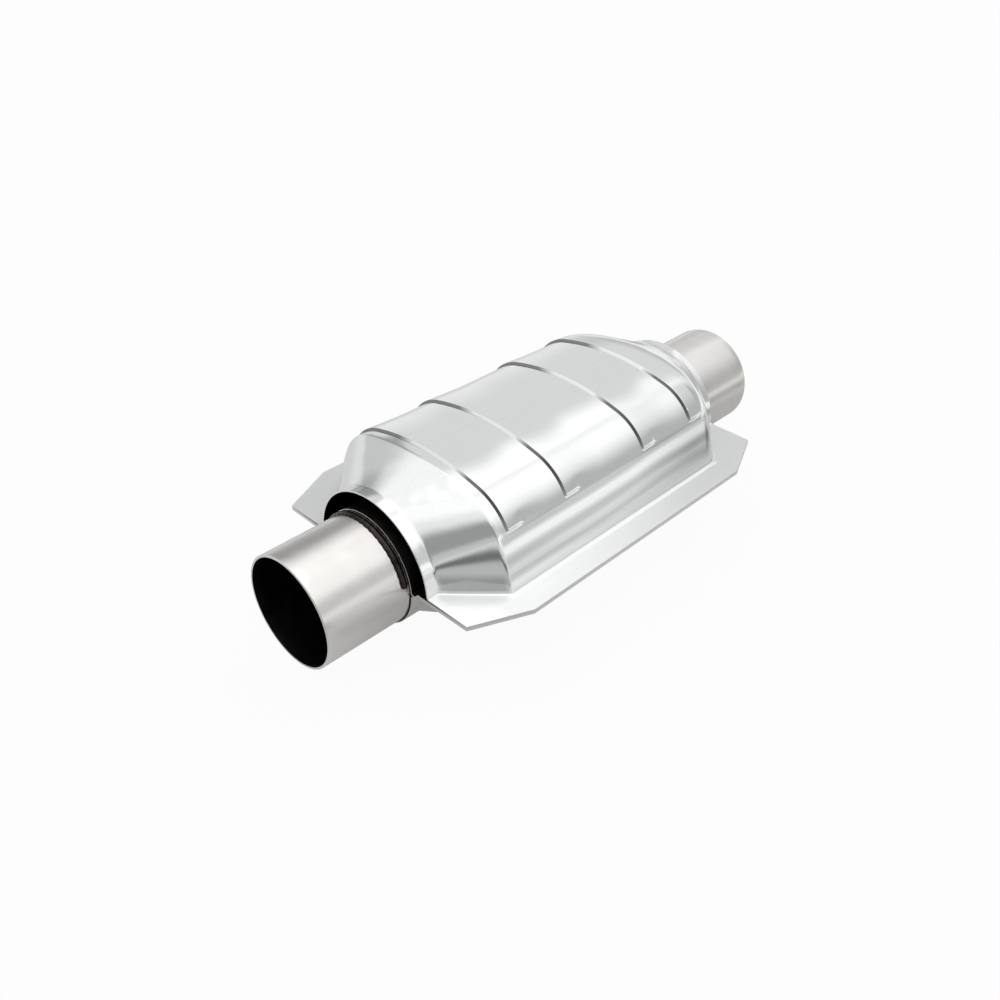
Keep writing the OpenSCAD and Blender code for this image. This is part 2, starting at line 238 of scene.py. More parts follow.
def bump(x, start, end, wall):
    """Bead profile along the axis, from 0 to 1 and back."""
    return float(min(smooth_step((x - start) / wall), smooth_step((end - x) / wall)))


def fin(x, start, steep, end, blunt=False):
    """Bead profile with one flat steep wall, then a long fall that eases out, or a blunt end."""
    if not start < x < end:
        return 0
    fall = max(0, (x - start - steep) / (end - start - steep))
    return min((x - start) / steep, 1 - fall ** 2 if blunt else (1 - fall) ** 2 * (1 + fall))


def from_end(x):
    return min(x, TOTAL_L - x)


def flange_half_w(x):
    share = (from_end(x) - FLANGE_X) / (FLANGE_FULL_X - FLANGE_X)
    return FLANGE_END_W + (FLANGE_W - FLANGE_END_W) * min(1, max(0, share))


def spaced(breaks, step):
    """Stations along the axis: every break, and even steps between them."""
    breaks = sorted(set(round(b, 4) for b in breaks))
    out = [breaks[0]]
    for a, b in zip(breaks, breaks[1:]):
        count = max(1, math.ceil((b - a) / step))
        out += [a + (b - a) * k / count for k in range(1, count + 1)]
    return out


def around(x, reach, count):
    return [x - reach + 2 * reach * k / count for k in range(count + 1)]


def bead_end():
    """Centre of the shield's shoulder, the angle there at which its beads run out, and the height."""
    (side, _), (shoulder, radius), _ = arch(SHIELD)
    angle = angle_of(shoulder - side) + SHIELD["bead_rise"]
    return shoulder, angle, (shoulder + radius * direction(angle))[1]


def fold_end():
    """Distance from the middle at which the shield's fold meets its flange between the cones."""
    (side, radius), _, _ = arch(SHIELD)
    reach, up = radius + SHIELD["fold_r"], SHIELD["top_z"] + SHIELD["fold_r"] - side[1]
    return side[0] + math.sqrt(reach * reach - up * up)


SHOULDER_AT, BEAD_END_ANGLE, BEAD_END_Z = bead_end()
FOLD_END = fold_end()


# Meshes

# Places in a formed sheet's list of finishes. The shield's bead steps and the can's collar edges
# are marked, and the shield's dashes come last.
OUTER, INNER, RIM, MARKED, DASH = range(5)
SHARP_ANGLE = 35
BEVEL_ANGLE = 60
SHEET_BEVEL = 0.12


def link(name, mesh):
    obj = bpy.data.objects.new(name, mesh)
    bpy.context.scene.collection.objects.link(obj)
    return obj


def finish_mesh(obj, finishes, nodes, bevel=0.0):
    """Smooth shading with sharp creases, an optional small bevel, finishes and a place in the frame."""
    bm = bmesh.new()
    bm.from_mesh(obj.data)
    bmesh.ops.recalc_face_normals(bm, faces=bm.faces)
    for face in bm.faces:
        face.smooth = True
    for edge in bm.edges:
        edge.smooth = len(edge.link_faces) != 2 or edge.calc_face_angle(0) <= math.radians(SHARP_ANGLE)
    bm.to_mesh(obj.data)
    bm.free()
    if bevel:
        mod = obj.modifiers.new("edge", "BEVEL")
        mod.width = bevel * MM
        mod.segments = 2
        mod.limit_method = "ANGLE"
        mod.angle_limit = math.radians(BEVEL_ANGLE)
    for finish in finishes:
        obj.data.materials.append(finish)
    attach(obj, "root")
    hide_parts(*nodes)


def grid_mesh(name, rows, closed_rows=False, closed_cols=False):
    """Mesh of a grid of points in millimetres."""
    rows = np.asarray(rows, float)
    r, c = rows.shape[:2]
    faces = []
    for i in range(r if closed_rows else r - 1):
        for j in range(c if closed_cols else c - 1):
            i2, j2 = (i + 1) % r, (j + 1) % c
            faces.append((i * c + j, i * c + j2, i2 * c + j2, i2 * c + j))
    mesh = bpy.data.meshes.new(name)
    mesh.from_pydata((rows.reshape(-1, 3) * MM).tolist(), [], faces)
    return mesh


def formed_sheet(name, form, stations, part, flange, bead, steps, down=False):
    """Closed sheet between an outer and an inner skin, one row of points for each station."""
    cols = columns(form, steps)

    def skin_row(x, skin):
        half = half_section(form, cols, part(x), flange(x), skin, bead(x))
        whole = np.concatenate([half, half[-2::-1] * (-1, 1)])
        if down:
            whole = whole * (1, -1)
        return np.column_stack([np.full(len(whole), x), whole])

    outer = np.array([skin_row(x, 0) for x in stations])
    inner = np.array([skin_row(x, -form["sheet"]) for x in stations])
    r, c = outer.shape[:2]
    points = np.concatenate([outer.reshape(-1, 3), inner.reshape(-1, 3)]) * MM
    shift = r * c
    faces, skins = [], []
    for i in range(r - 1):
        for j in range(c - 1):
            a = i * c + j
            faces.append((a, a + 1, a + c + 1, a + c))
            skins.append(OUTER)
            faces.append(tuple(shift + k for k in (a + c, a + c + 1, a + 1, a)))
            skins.append(INNER)
    rim = (list(range(c - 1)) + [i * c + c - 1 for i in range(r - 1)]
           + [(r - 1) * c + j for j in range(c - 1, 0, -1)] + [i * c for i in range(r - 1, 0, -1)])
    for k, a in enumerate(rim):
        b = rim[(k + 1) % len(rim)]
        faces.append((a, a + shift, b + shift, b))
        skins.append(RIM)
    mesh = bpy.data.meshes.new(name)
    mesh.from_pydata(points.tolist(), [], faces)
    mesh.polygons.foreach_set("material_index", skins)
    return link(name, mesh)


# Finishes

def node_setup(name, colour, metallic, roughness):
    mat = bpy.data.materials.new(name)
    mat.use_nodes = True
    shader = mat.node_tree.nodes["Principled BSDF"]
    shader.inputs["Base Color"].default_value = (*colour, 1)
    shader.inputs["Metallic"].default_value = metallic
    shader.inputs["Roughness"].default_value = roughness
    return mat, shader


def add(mat, kind, **inputs):
    node = mat.node_tree.nodes.new(kind)
    for key, value in inputs.items():
        node.inputs[key.replace("_", " ")].default_value = value
    return node


def join(mat, source, target):
    mat.node_tree.links.new(source, target)


def noise(mat, scale, detail, stretch=(1, 1, 1)):
    """Noise over the piece's own coordinates, stretched per axis. scale is in features per metre."""
    coords = add(mat, "ShaderNodeTexCoord")
    mapping = add(mat, "ShaderNodeMapping")
    mapping.inputs["Scale"].default_value = stretch
    texture = add(mat, "ShaderNodeTexNoise", Scale=scale, Detail=detail)
    join(mat, coords.outputs["Object"], mapping.inputs["Vector"])
    join(mat, mapping.outputs["Vector"], texture.inputs["Vector"])
    return texture.outputs["Fac"]


def spread(mat, value, low, high, start=0.3, end=0.7):
    """Maps a texture's range start to end onto low to high."""
    node = add(mat, "ShaderNodeMapRange")
    node.inputs["From Min"].default_value = start
    node.inputs["From Max"].default_value = end
    node.inputs["To Min"].default_value = low
    node.inputs["To Max"].default_value = high
    join(mat, value, node.inputs["Value"])
    return node.outputs["Result"]


def colours(mat, value, low, high, start=0.3, end=0.7):
    """Maps a texture's range onto a run between two colours."""
    node = add(mat, "ShaderNodeValToRGB")
    node.color_ramp.elements[0].position = start
    node.color_ramp.elements[0].color = (*low, 1)
    node.color_ramp.elements[1].position = end
    node.color_ramp.elements[1].color = (*high, 1)
    join(mat, value, node.inputs["Fac"])
    return node.outputs["Color"]


def over(mat, value, start, end, low=0.0, high=1.0):
    """Runs from low to high between two places in millimetres."""
    return spread(mat, value, low, high, start * MM, end * MM)


def calc(mat, operation, a, b=0):
    """Math node with sockets or numbers."""
    node = add(mat, "ShaderNodeMath")
    node.operation = operation
    for value, target in zip((a, b), node.inputs):
        if isinstance(value, (int, float)):
            target.default_value = value
        else:
            join(mat, value, target)
    return node.outputs[0]


def product(mat, first, *others):
    """Product of sockets or numbers."""
    for other in others:
        first = calc(mat, "MULTIPLY", first, other)
    return first


def vector_calc(mat, operation, a, b=(0, 0, 0)):
    """Vector math node with sockets or constant vectors."""
    node = add(mat, "ShaderNodeVectorMath")
    node.operation = operation
    for value, target in zip((a, b), node.inputs):
        if isinstance(value, tuple):
            target.default_value = value
        else:
            join(mat, value, target)
    return node.outputs["Value" if operation in ("LENGTH", "DOT_PRODUCT", "DISTANCE") else "Vector"]


def place(mat, axis):
    """Coordinate of a point of the piece along one axis, in metres."""
    coords = add(mat, "ShaderNodeTexCoord")
    parts = add(mat, "ShaderNodeSeparateXYZ")
    join(mat, coords.outputs["Object"], parts.inputs["Vector"])
    return parts.outputs[axis]


def hump(mat, value, middle, reach):
    """1 at a middle value in millimetres, falling softly to 0 at reach to either side."""
    off = calc(mat, "ABSOLUTE", calc(mat, "SUBTRACT", value, middle * MM))
    result = over(mat, off, 0, reach, 1.0, 0.0)
    result.node.interpolation_type = "SMOOTHSTEP"
    return result


def from_middle(mat):
    """Distance of a point of the piece from mid length, in metres."""
    return calc(mat, "ABSOLUTE", calc(mat, "SUBTRACT", place(mat, "X"), MID_X * MM))


def off_axis(mat):
    """Distance of a point of the piece from the exhaust axis, in metres."""
    y, z = place(mat, "Y"), place(mat, "Z")
    return calc(mat, "SQRT", calc(mat, "ADD", product(mat, y, y), product(mat, z, z)))


def dimmed(mat, colour, factor):
    """Colour times a factor."""
    node = add(mat, "ShaderNodeVectorMath")
    node.operation = "SCALE"
    join(mat, colour, node.inputs[0])
    join(mat, factor, node.inputs["Scale"])
    return node.outputs[0]


def relief(mat, shader, height, distance, strength=1.0):
    """Bumps of a depth in millimetres."""
    node = add(mat, "ShaderNodeBump", Strength=strength, Distance=distance * MM)
    join(mat, height, node.inputs["Height"])
    join(mat, node.outputs["Normal"], shader.inputs["Normal"])


# Where the shield's finish and its painted light change, as stretches in millimetres of height, along
# X or across it
FLANGE_FACE_Z = (1.82, 1.86)
POLISH_Z = (2.0, 2.8)
WALL_TOP_Z = (BEAD_END_Z, BEAD_END_Z + 2)
REAR_X = (178, 228)
SHEEN_X = (105, 240)
SHEEN_Y = (-20, 35)
SHEEN_MOST = 1.11
LIP_PATCH_Z = (32, 36)
FOOT_Z = (2.9, 3.6)
FOOT_TOP_Z = (9, 13)
FOOT_X = (57, 59)
FOOT_END_X = (80, 83)
DENTS_Z = (32, 40)

# Distance from mid length at which the straight walls begin to turn into the cones, and a little on
WALL_END = (81, 82.5)
DENTS_FROM = (81, 89)

# Painted reflection streaks of the lower walls as (height, reach to either side, change of tone), in
# millimetres
WALL_REFLECTIONS = [(18.2, 4.4, -0.28), (27.2, 3.2, -0.36)]
NEAR_WALL_REFLECTIONS = [(10.0, 2.6, -0.17), (5.8, 3.0, 0.09), (22.4, 3.0, 0.05)]
REAR_WALL_REFLECTIONS = [(16.5, 12.5, -0.33)]
STREAK_WAVER = 5

# Painted reflection marks as (middle, reach to either side), in millimetres: a dark line in the
# fold, a white painted highlight beside the fold's root and a dark patch on the inlet's lip
FOLD_LINE_Z = (2.2, 0.38)
ROOT_LINE_Y = (FOLD_END + 0.8, 1.4)
LIP_PATCH_X = (58, 12)
LIP_PATCH_Y = (11, 11)


def painted_wall_reflections(mat, height, rear):
    """Change of tone from painted reflection streaks, which waver and differ towards the rear."""
    waver = calc(mat, "SUBTRACT", noise(mat, 9, 2), 0.5)
    level = calc(mat, "ADD", height, product(mat, waver, STREAK_WAVER * MM))
    near = calc(mat, "SUBTRACT", 1.0, rear)
    total = spread(mat, noise(mat, 420, 2, (0.02, 1, 1)), -0.05, 0.05)
    for reflection_streaks, share in ((WALL_REFLECTIONS, 1.0), (NEAR_WALL_REFLECTIONS, near), (REAR_WALL_REFLECTIONS, rear)):
        for middle, reach, change in reflection_streaks:
            painted_streak = product(mat, hump(mat, level, middle, reach), change, share)
            total = calc(mat, "ADD", total, painted_streak)
    return total


def flange_painted_sheen(mat, along, across, on_walls):
    """Painted sheen of the flange: a painted reflection, duller to the rear and on the far side, and a
    painted highlight, white beside the fold's root.
    """
    painted_sheen = product(mat, over(mat, along, *SHEEN_X, 1.1, 0.8), over(mat, across, *SHEEN_Y, 1.0, 0.78))
    root = product(mat, hump(mat, calc(mat, "ABSOLUTE", across), *ROOT_LINE_Y), on_walls, 0.3)
    return calc(mat, "MINIMUM", calc(mat, "ADD", painted_sheen, root), SHEEN_MOST)


def inlet_dark_reflections(mat, along, across, height):
    """Dark painted reflections: a patch on the inlet's lip and the foot of the inlet's cone."""
    lip_patch = product(mat, hump(mat, along, *LIP_PATCH_X), hump(mat, across, *LIP_PATCH_Y),
                     over(mat, height, *LIP_PATCH_Z, 0.0, 0.3))
    foot = product(mat, over(mat, height, *FOOT_Z), over(mat, height, *FOOT_TOP_Z, 0.38, 0.0),
                   over(mat, along, *FOOT_X), over(mat, along, *FOOT_END_X, 1.0, 0.0))
    return calc(mat, "ADD", lip_patch, foot)


def cone_dents(mat, height, out):
    """Uneven surface of the cones' upper parts."""
    dents = calc(mat, "SUBTRACT", noise(mat, 60, 1), 0.5)
    return product(mat, dents, over(mat, out, *DENTS_FROM), over(mat, height, *DENTS_Z))


def polished_sheet():
    """Bright stainless sheet. The flange is hazy, rougher and with a painted sheen. Painted reflection
    streaks run along the lower walls, with a dark painted reflection line in the fold. Dark painted
    reflections lie on the inlet's lip and cone foot, and the cones are a little uneven."""
    mat, shader = node_setup("polished_sheet", (0.87, 0.88, 0.88), 1.0, 0.1)
    along, across, height, out = place(mat, "X"), place(mat, "Y"), place(mat, "Z"), from_middle(mat)
    join(mat, over(mat, height, *POLISH_Z, 0.34, 0.1), shader.inputs["Roughness"])
    join(mat, over(mat, height, *POLISH_Z, 0.6, 1.0), shader.inputs["Metallic"])

    rear = over(mat, along, *REAR_X)
    on_flange = over(mat, height, *FLANGE_FACE_Z, 1.0, 0.0)
    below_beads = calc(mat, "SUBTRACT", over(mat, height, *WALL_TOP_Z, 1.0, 0.0), on_flange)
    between_cones = over(mat, out, *WALL_END, 1.0, 0.0)
    # Painted reflection streaks on the lower walls, and a dark painted reflection line in the fold
    reflection_streaks = product(mat, painted_wall_reflections(mat, height, rear), below_beads)
    fold = product(mat, hump(mat, height, *FOLD_LINE_Z),
                   calc(mat, "SUBTRACT", -0.12, product(mat, rear, 0.4)))
    lines = product(mat, calc(mat, "ADD", reflection_streaks, fold), between_cones)

    # Painted sheen of the flange, brighter at the front and the near side
    painted_sheen = calc(mat, "SUBTRACT", flange_painted_sheen(mat, along, across, between_cones), 1.0)
    tone = product(mat, calc(mat, "ADD", 1.0, lines),
                   calc(mat, "ADD", 1.0, product(mat, painted_sheen, on_flange)))
    # Dark painted reflections on the inlet's lip and at the foot of its cone
    tone = calc(mat, "SUBTRACT", tone, inlet_dark_reflections(mat, along, across, height))
    rolled = noise(mat, 700, 2, (0.03, 1, 1))
    steel = colours(mat, rolled, (0.857, 0.872, 0.868), (0.88, 0.897, 0.892))
    join(mat, dimmed(mat, steel, tone), shader.inputs["Base Color"])
    relief(mat, shader, cone_dents(mat, height, out), 0.5)
    return mat


def painted_dash_highlight():
    """Painted highlight of the dash where a bead runs out."""
    mat, shader = node_setup("painted_dash_highlight", (0.95, 0.95, 0.95), 0.1, 0.4)
    grain = noise(mat, 500, 2, (0.1, 1, 1))
    join(mat, colours(mat, grain, (0.9, 0.9, 0.9), (0.97, 0.97, 0.97)), shader.inputs["Base Color"])
    join(mat, spread(mat, grain, 0.36, 0.46), shader.inputs["Roughness"])
    return mat


# Where the painted shade in the steps of the shield's beads changes its tone, as stretches across and
# of height
STEP_FAR_Y = (-31, -20)
STEP_NEAR_Y = (9, 20)
STEP_END_Z = (BEAD_END_Z, BEAD_END_Z + 2.5)
STEP_FADE_Z = (BEAD_END_Z + 2.5, BEAD_END_Z + 9)


def bead_step_shade():
    """Step of a bead darkened with painted shade, paler over the top and where it runs out at its lower
    ends.
    """
    mat, shader = node_setup("bead_step_shade", (0.2, 0.2, 0.2), 1.0, 0.16)
    across, height = place(mat, "Y"), place(mat, "Z")
    top = product(mat, over(mat, across, *STEP_FAR_Y, 0.09, 0.85),
                  over(mat, across, *STEP_NEAR_Y, 1.0, 0.28))
    tone = calc(mat, "MAXIMUM", top, over(mat, height, *STEP_END_Z, 0.5, 0.2))
    tone = calc(mat, "ADD", tone, over(mat, height, *STEP_FADE_Z, 0.15, 0.0))
    join(mat, tone, shader.inputs["Base Color"])
    join(mat, spread(mat, noise(mat, 500, 2), 0.12, 0.22), shader.inputs["Roughness"])
    return mat


def dark_sheet(name, colour, roughness):
    """Dark sheet face with cloudy tone and roughness. Near black, it is painted shade: the shield's
    underside, the upper can half's face under the shield and the pipes' bores.
    """
    mat, shader = node_setup(name, colour, 1.0, roughness)
    clouds = noise(mat, 140, 4)
    dark = tuple(0.7 * c for c in colour)
    join(mat, colours(mat, clouds, dark, colour), shader.inputs["Base Color"])
    join(mat, spread(mat, clouds, roughness - 0.06, roughness + 0.08), shader.inputs["Roughness"])
    return mat


def satin_steel(name, colour, roughness):
    """Satin stainless, finely brushed round the pipe, with faint cloudy patches."""
    mat, shader = node_setup(name, colour, 1.0, roughness)
    lines = noise(mat, 2600, 2, (1, 0.03, 0.03))
    clouds = noise(mat, 70, 3)
    pale = tuple(min(1, 1.02 * c) for c in colour)
    dark = tuple(0.97 * c for c in colour)
    join(mat, colours(mat, clouds, dark, pale), shader.inputs["Base Color"])
    join(mat, spread(mat, clouds, roughness - 0.03, roughness + 0.03), shader.inputs["Roughness"])
    relief(mat, shader, lines, 0.003, 0.3)
    return mat


def cut_edge(name, low, high, start, end):
    """Sheared edge of a sheet, with one tone below a height in millimetres and another above it."""
    mat, shader = node_setup(name, (low, low, low), 0.75, 0.5)
    lines = noise(mat, 1500, 2, (1, 1, 0.05))
    tones = [(tone, tone, 0.985 * tone) for tone in (low, high)]
    join(mat, colours(mat, place(mat, "Z"), *tones, start * MM, end * MM), shader.inputs["Base Color"])
    join(mat, spread(mat, lines, 0.42, 0.56), shader.inputs["Roughness"])
    return mat


# Stretches out from the pipe's surface, and of height, over which a collar's edge changes its tone;
# beside the pipe it is painted shade
COLLAR_CORNER = (PIPE_OUT + 0.62, PIPE_OUT + 0.75)
COLLAR_SEAM_Z = (3.5, 5)


def collar_edge():
    """Bright outer corner of a collar's edge, painted shade black beside the pipe, grey near the seam.
    """
    mat, shader = node_setup("collar_edge", (0.9, 0.9, 0.89), 0.3, 0.45)
    start, end = COLLAR_SEAM_Z
    tone = colours(mat, place(mat, "Z"), (0.62, 0.62, 0.61), (0.95, 0.95, 0.94), start * MM, end * MM)
    # Painted black shade on the part of the edge beside the pipe
    lit = over(mat, off_axis(mat), *COLLAR_CORNER, 0.004, 1.0)
    join(mat, dimmed(mat, tone, lit), shader.inputs["Base Color"])
    join(mat, spread(mat, lit, 0.8, 0.42, 0, 1), shader.inputs["Roughness"])
    return mat


# Stretches of a weld: out from the pipe's surface, over which its painted shade lifts from the feet,
# and out from mid length over its painted highlight streak
WELD_CROWN = (PIPE_OUT + 0.1, PIPE_OUT + 0.75)
WELD_HIGHLIGHT_FROM = (MID_X - WELD_X - 2.2, MID_X - WELD_X - 1.9)
WELD_HIGHLIGHT_TO = (MID_X - WELD_X - 1.2, MID_X - WELD_X - 0.7)


def weld_metal():
    """Burnt weld metal, with painted shade black along its feet, and a painted highlight streak
    beside the collar.
    """
    mat, shader = node_setup("weld_metal", (0.03, 0.025, 0.025), 1.0, 0.24)
    clouds = noise(mat, 260, 3)
    tint = colours(mat, clouds, (0.02, 0.016, 0.016), (0.06, 0.048, 0.045))
    # Painted shade along the feet, and a painted highlight streak beside the collar
    crown = over(mat, off_axis(mat), *WELD_CROWN, 0.06, 1.0)
    out = from_middle(mat)
    painted_streak = product(mat, over(mat, out, *WELD_HIGHLIGHT_FROM), over(mat, out, *WELD_HIGHLIGHT_TO, 1, 0), 5.0)
    tone = product(mat, crown, calc(mat, "ADD", 1.0, painted_streak))
    join(mat, dimmed(mat, tint, tone), shader.inputs["Base Color"])
    join(mat, spread(mat, clouds, 0.2, 0.3), shader.inputs["Roughness"])
    return mat


def ceramic():
    mat, shader = node_setup("ceramic", (0.6, 0.5, 0.36), 0.0, 0.9)
    grain = noise(mat, 2200, 4)
    join(mat, colours(mat, grain, (0.5, 0.41, 0.29), (0.68, 0.58, 0.43)), shader.inputs["Base Color"])
    relief(mat, shader, grain, 0.05, 0.6)
    return mat


def fibre():
    mat, shader = node_setup("fibre", (0.8, 0.78, 0.7), 0.0, 0.95)
    strands = noise(mat, 900, 5, (0.15, 1, 1))
    join(mat, colours(mat, strands, (0.6, 0.58, 0.5), (0.9, 0.88, 0.82)), shader.inputs["Base Color"])
    relief(mat, shader, strands, 0.4, 0.8)
    return mat


def knitted_wire():
    mat, shader = node_setup("knitted_wire", (0.4, 0.4, 0.4), 1.0, 0.4)
    coords = add(mat, "ShaderNodeTexCoord")
    wave = add(mat, "ShaderNodeTexWave", Scale=420, Distortion=6, Detail=2, Detail_Scale=3)
    join(mat, coords.outputs["Object"], wave.inputs["Vector"])
    bow = wave.outputs["Fac"]
    join(mat, colours(mat, bow, (0.12, 0.12, 0.12), (0.6, 0.6, 0.59)), shader.inputs["Base Color"])
    relief(mat, shader, bow, 0.4, 0.9)
    return mat


SHEET_FACE = polished_sheet()
# The shield's back, the upper can half's face and the necks' bores are near black: painted shade
SHEET_BACK = dark_sheet("sheet_back", (0.025, 0.025, 0.025), 0.5)
SHEET_EDGE = cut_edge("sheet_edge", 0.72, 0.92, 2.6, 4.0)
# Steps of the shield's beads: painted shade
BEAD_STEP_SHADE = bead_step_shade()
# Dashes at the beads' ends: painted highlight
PAINTED_DASH_HIGHLIGHT = painted_dash_highlight()
CAN_FACE = satin_steel("can_face", (0.7, 0.69, 0.675), 0.3)
CAN_PAINTED_SHADE = dark_sheet("can_painted_shade", (0.03, 0.028, 0.026), 0.5)
CAN_BACK = dark_sheet("can_back", (0.13, 0.12, 0.11), 0.5)
CAN_EDGE = cut_edge("can_edge", 0.72, 0.72, 0.0, 1.0)
COLLAR_RIM = collar_edge()
NECK_FACE = satin_steel("neck_face", (0.79, 0.775, 0.755), 0.25)
NECK_BACK = dark_sheet("neck_back", (0.02, 0.019, 0.018), 0.45)
WELD_METAL = weld_metal()
CERAMIC = ceramic()
FIBRE = fibre()
KNITTED_WIRE = knitted_wire()


# Heat shield

BEAD_STARTS = [
    SHIELD["cone"][1] + BEAD_MARGIN,
    MID_X - BEAD_INNER - BEAD_L / 2,
    MID_X + BEAD_INNER - BEAD_L / 2,
    TOTAL_L - SHIELD["cone"][1] - BEAD_MARGIN - BEAD_L,
]


def shield_part(x):
    cone = SHIELD["cone"]
    return min(ramp(x, *cone, *SHIELD["ease"]), ramp(TOTAL_L - x, *cone, *SHIELD["ease_out"]))


def shield_bead(x):
    """Height of the beads at their ends on the shoulders and over the top."""
    at_end = max(fin(x, s, BEAD_STEEP, s + BEAD_L, blunt=True) for s in BEAD_STARTS)
    tails = [min(s + BEAD_TAIL, TOTAL_L - SHIELD["cone"][1]) for s in BEAD_STARTS]
    on_top = max(fin(x, s, BEAD_STEEP, end) for s, end in zip(BEAD_STARTS, tails))
    return BEAD_END_SHARE * BEAD_H * at_end, BEAD_H * on_top


def mark_beads(mesh):
    """Gives the steps of the beads and the dashes at their ends their own finishes."""
    for poly in mesh.polygons:
        if poly.material_index != OUTER:
            continue
        x, y, z = poly.center / MM
        past_end = angle_of(np.array([abs(y), z]) - SHOULDER_AT) - BEAD_END_ANGLE
        if z > BEAD_END_Z and any(s - BEAD_LEAD < x < s + BEAD_STEEP for s in BEAD_STARTS):
            poly.material_index = MARKED
        elif 0 < past_end < BEAD_END_STEP and any(s + BEAD_STEEP < x < s + DASH_L for s in BEAD_STARTS):
            poly.material_index = DASH


def make_shield():
    breaks = [FLANGE_X, TOTAL_L - FLANGE_X, FLANGE_FULL_X, TOTAL_L - FLANGE_FULL_X]
    for corner, ease, ease_out in zip(SHIELD["cone"], SHIELD["ease"], SHIELD["ease_out"]):
        breaks += around(corner, ease, 8) + around(TOTAL_L - corner, ease_out, 8)
    for s in BEAD_STARTS:
        breaks += [s - BEAD_LEAD, s, s + BEAD_STEEP / 2, s + BEAD_STEEP, s + BEAD_L]
        breaks += [s + BEAD_STEEP + (DASH_L - BEAD_STEEP) * k / 7 for k in range(1, 8)]
    steps = dict(fold=8, side=14, rise=2, end=6, shoulder=24, crown=12)
    obj = formed_sheet("shield_sheet", SHIELD, spaced(breaks, 3), shield_part, flange_half_w,
                       shield_bead, steps)
    mark_beads(obj.data)
    finishes = [SHEET_FACE, SHEET_BACK, SHEET_EDGE, BEAD_STEP_SHADE, PAINTED_DASH_HIGHLIGHT]
    finish_mesh(obj, finishes, ["heat_shield"], SHEET_BEVEL)


# Can halves

def can_part(x):
    return ramp(from_end(x), *CAN["cone"], *CAN["ease"])


def can_flange(x):
    grown = min(1, max(0, (from_end(x) - FLANGE_X + FLANGE_ROOT) / FLANGE_ROOT))
    return (1 - grown) * (CAN["round_r"] + COLLAR_EAR) + grown * flange_half_w(x)


def can_bead(x):
    ribs = max(bump(x, MID_X + s * BEAD_INNER - BEAD_L / 2, MID_X + s * BEAD_INNER + BEAD_L / 2,
                    CAN_BEAD_WALL) for s in (-1, 1))
    groove = bump(x, MID_X - GROOVE_L / 2, MID_X + GROOVE_L / 2, GROOVE_WALL)
    return (BEAD_H * ribs - GROOVE_H * groove,) * 2


def make_can_half(name, node, down):
    cone, ease = CAN["cone"], CAN["ease"]
    half = [COLLAR_X, FLANGE_X - FLANGE_ROOT, FLANGE_X, FLANGE_FULL_X, MID_X]
    half += around(cone[0], ease[0], 4) + around(cone[1], ease[1], 8)
    for k in range(7):
        half += [MID_X - BEAD_INNER - BEAD_L / 2 + CAN_BEAD_WALL * k / 6]
        half += [MID_X - BEAD_INNER + BEAD_L / 2 - CAN_BEAD_WALL * k / 6]
        half += [MID_X - GROOVE_L / 2 + GROOVE_WALL * k / 6]
    breaks = half + [TOTAL_L - x for x in half]
    steps = dict(fold=7, side=8, rise=2, end=5, shoulder=18, crown=8)
    obj = formed_sheet(name, CAN, spaced(breaks, 4), can_part, can_flange, can_bead, steps, down)
    for poly in obj.data.polygons:
        _, y, z = poly.center / MM
        if poly.material_index == RIM and math.hypot(y, z) < PIPE_OUT + CAN["sheet"] + COLLAR_EDGE:
            poly.material_index = MARKED
    # The upper half's face, in the void under the shield, is near black: painted shade
    finishes = [CAN_FACE if down else CAN_PAINTED_SHADE, CAN_BACK, CAN_EDGE, COLLAR_RIM]
    finish_mesh(obj, finishes, [node], SHEET_BEVEL)


# Necks

def revolve(name, profile, segments):
    """Mesh from a closed profile of (x, radius) turned round the exhaust axis."""
    turns = np.radians(np.arange(segments) * 360 / segments)
    rows = [[(x, r * math.sin(t), r * math.cos(t)) for x, r in profile] for t in turns]
    return grid_mesh(name, rows, closed_rows=True, closed_cols=True)


def rim_arc(x, r, radius, start, end):
    return [(x + radius * math.cos(a), r + radius * math.sin(a))
            for a in np.radians(np.linspace(start, end, 5))]


def make_neck(name, node, flip):
    """Pipe with a rounded mouth. The stations along it keep its faces short."""
    stations = [PIPE_L * k / 12 for k in range(1, 12)]
    profile = (rim_arc(RIM_ROUND, PIPE_OUT - RIM_ROUND, RIM_ROUND, 180, 90)
               + [(x, PIPE_OUT) for x in stations]
               + [(PIPE_L - NECK_END_BEVEL, PIPE_OUT), (PIPE_L, PIPE_OUT - NECK_END_BEVEL)]
               + [(PIPE_L, PIPE_IN)] + [(x, PIPE_IN) for x in reversed(stations)]
               + rim_arc(BORE_ROUND, PIPE_IN + BORE_ROUND, BORE_ROUND, 270, 180))
    if flip:
        profile = [(TOTAL_L - x, r) for x, r in profile]
    obj = link(name, revolve(name, profile, NECK_SEGMENTS))
    for poly in obj.data.polygons:
        _, y, z = poly.center / MM
        poly.material_index = INNER if math.hypot(y, z) < PIPE_IN + BORE_EDGE else OUTER
    finish_mesh(obj, [NECK_FACE, NECK_BACK], [node])


# Welds

